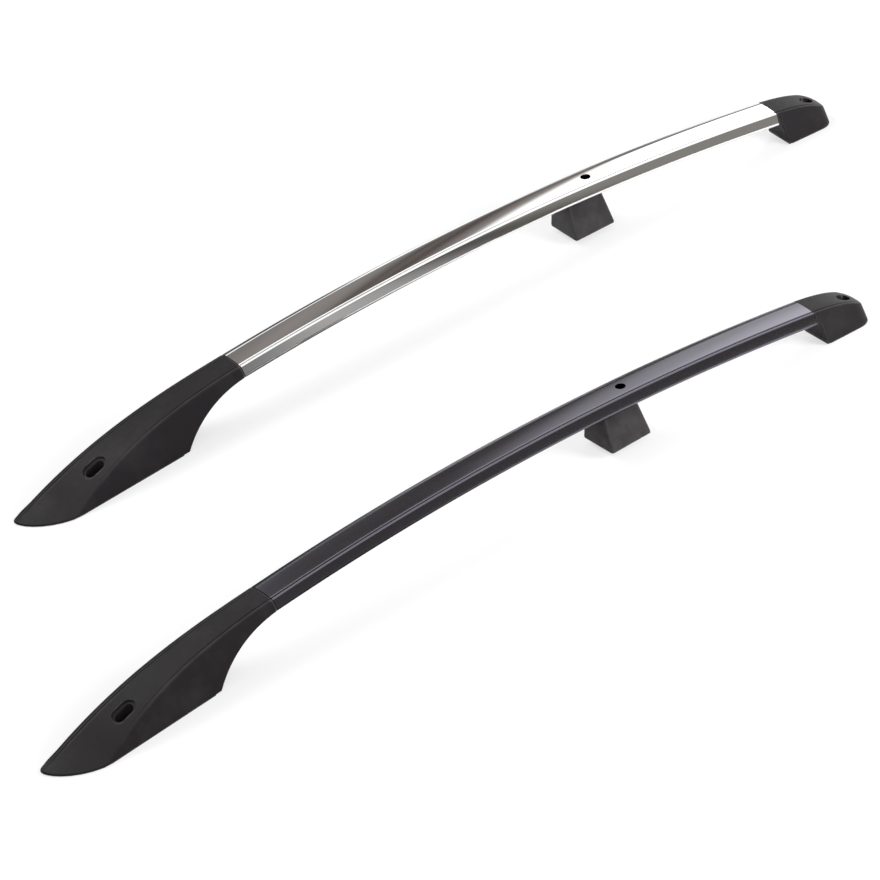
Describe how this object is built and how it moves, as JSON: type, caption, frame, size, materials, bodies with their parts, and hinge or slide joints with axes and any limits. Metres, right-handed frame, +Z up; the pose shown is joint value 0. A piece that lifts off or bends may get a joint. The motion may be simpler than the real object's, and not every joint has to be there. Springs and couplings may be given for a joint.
{
  "type": "roof side rail pair",
  "caption": "Pair of arched hollow side rails for a car roof, one silver and one black, each closed by a long pointed front foot and a short rear foot and held up by a middle foot.",
  "frame": {"origin": "centre of the bolt hole of the black rail's front plate, at the level of the soles", "axes": "+X along the black rail from its front tip to its rear end, +Y to the side of the silver rail, +Z up from the roof"},
  "size_m": [1.8267, 0.6384, 0.1027],
  "materials": {
    "silver_tube": "polished",
    "black_tube": "satin black anodised",
    "foot_plastic": "fine grained black",
    "gasket_rubber": "matt",
    "steel": "zinc plated"
  },
  "bodies": {
    "root": {"black_rail": "black_tube", "black_front_foot": "foot_plastic", "black_rear_foot": "foot_plastic", "black_middle_foot": "foot_plastic", "black_front_plate": "steel", "black_rear_plate": "steel", "black_middle_sleeve": "steel", "black_middle_pad": "gasket_rubber", "black_front_gasket": "gasket_rubber", "black_rear_gasket": "gasket_rubber", "black_middle_gasket": "gasket_rubber", "black_front_screw": "steel", "black_rear_screw": "steel", "silver_rail": "silver_tube", "silver_front_foot": "foot_plastic", "silver_rear_foot": "foot_plastic", "silver_middle_foot": "foot_plastic", "silver_front_plate": "steel", "silver_rear_plate": "steel", "silver_middle_sleeve": "steel", "silver_middle_pad": "gasket_rubber", "silver_front_gasket": "gasket_rubber", "silver_rear_gasket": "gasket_rubber", "silver_middle_gasket": "gasket_rubber", "silver_front_screw": "steel", "silver_rear_screw": "steel"}
  },
  "joints": []
}
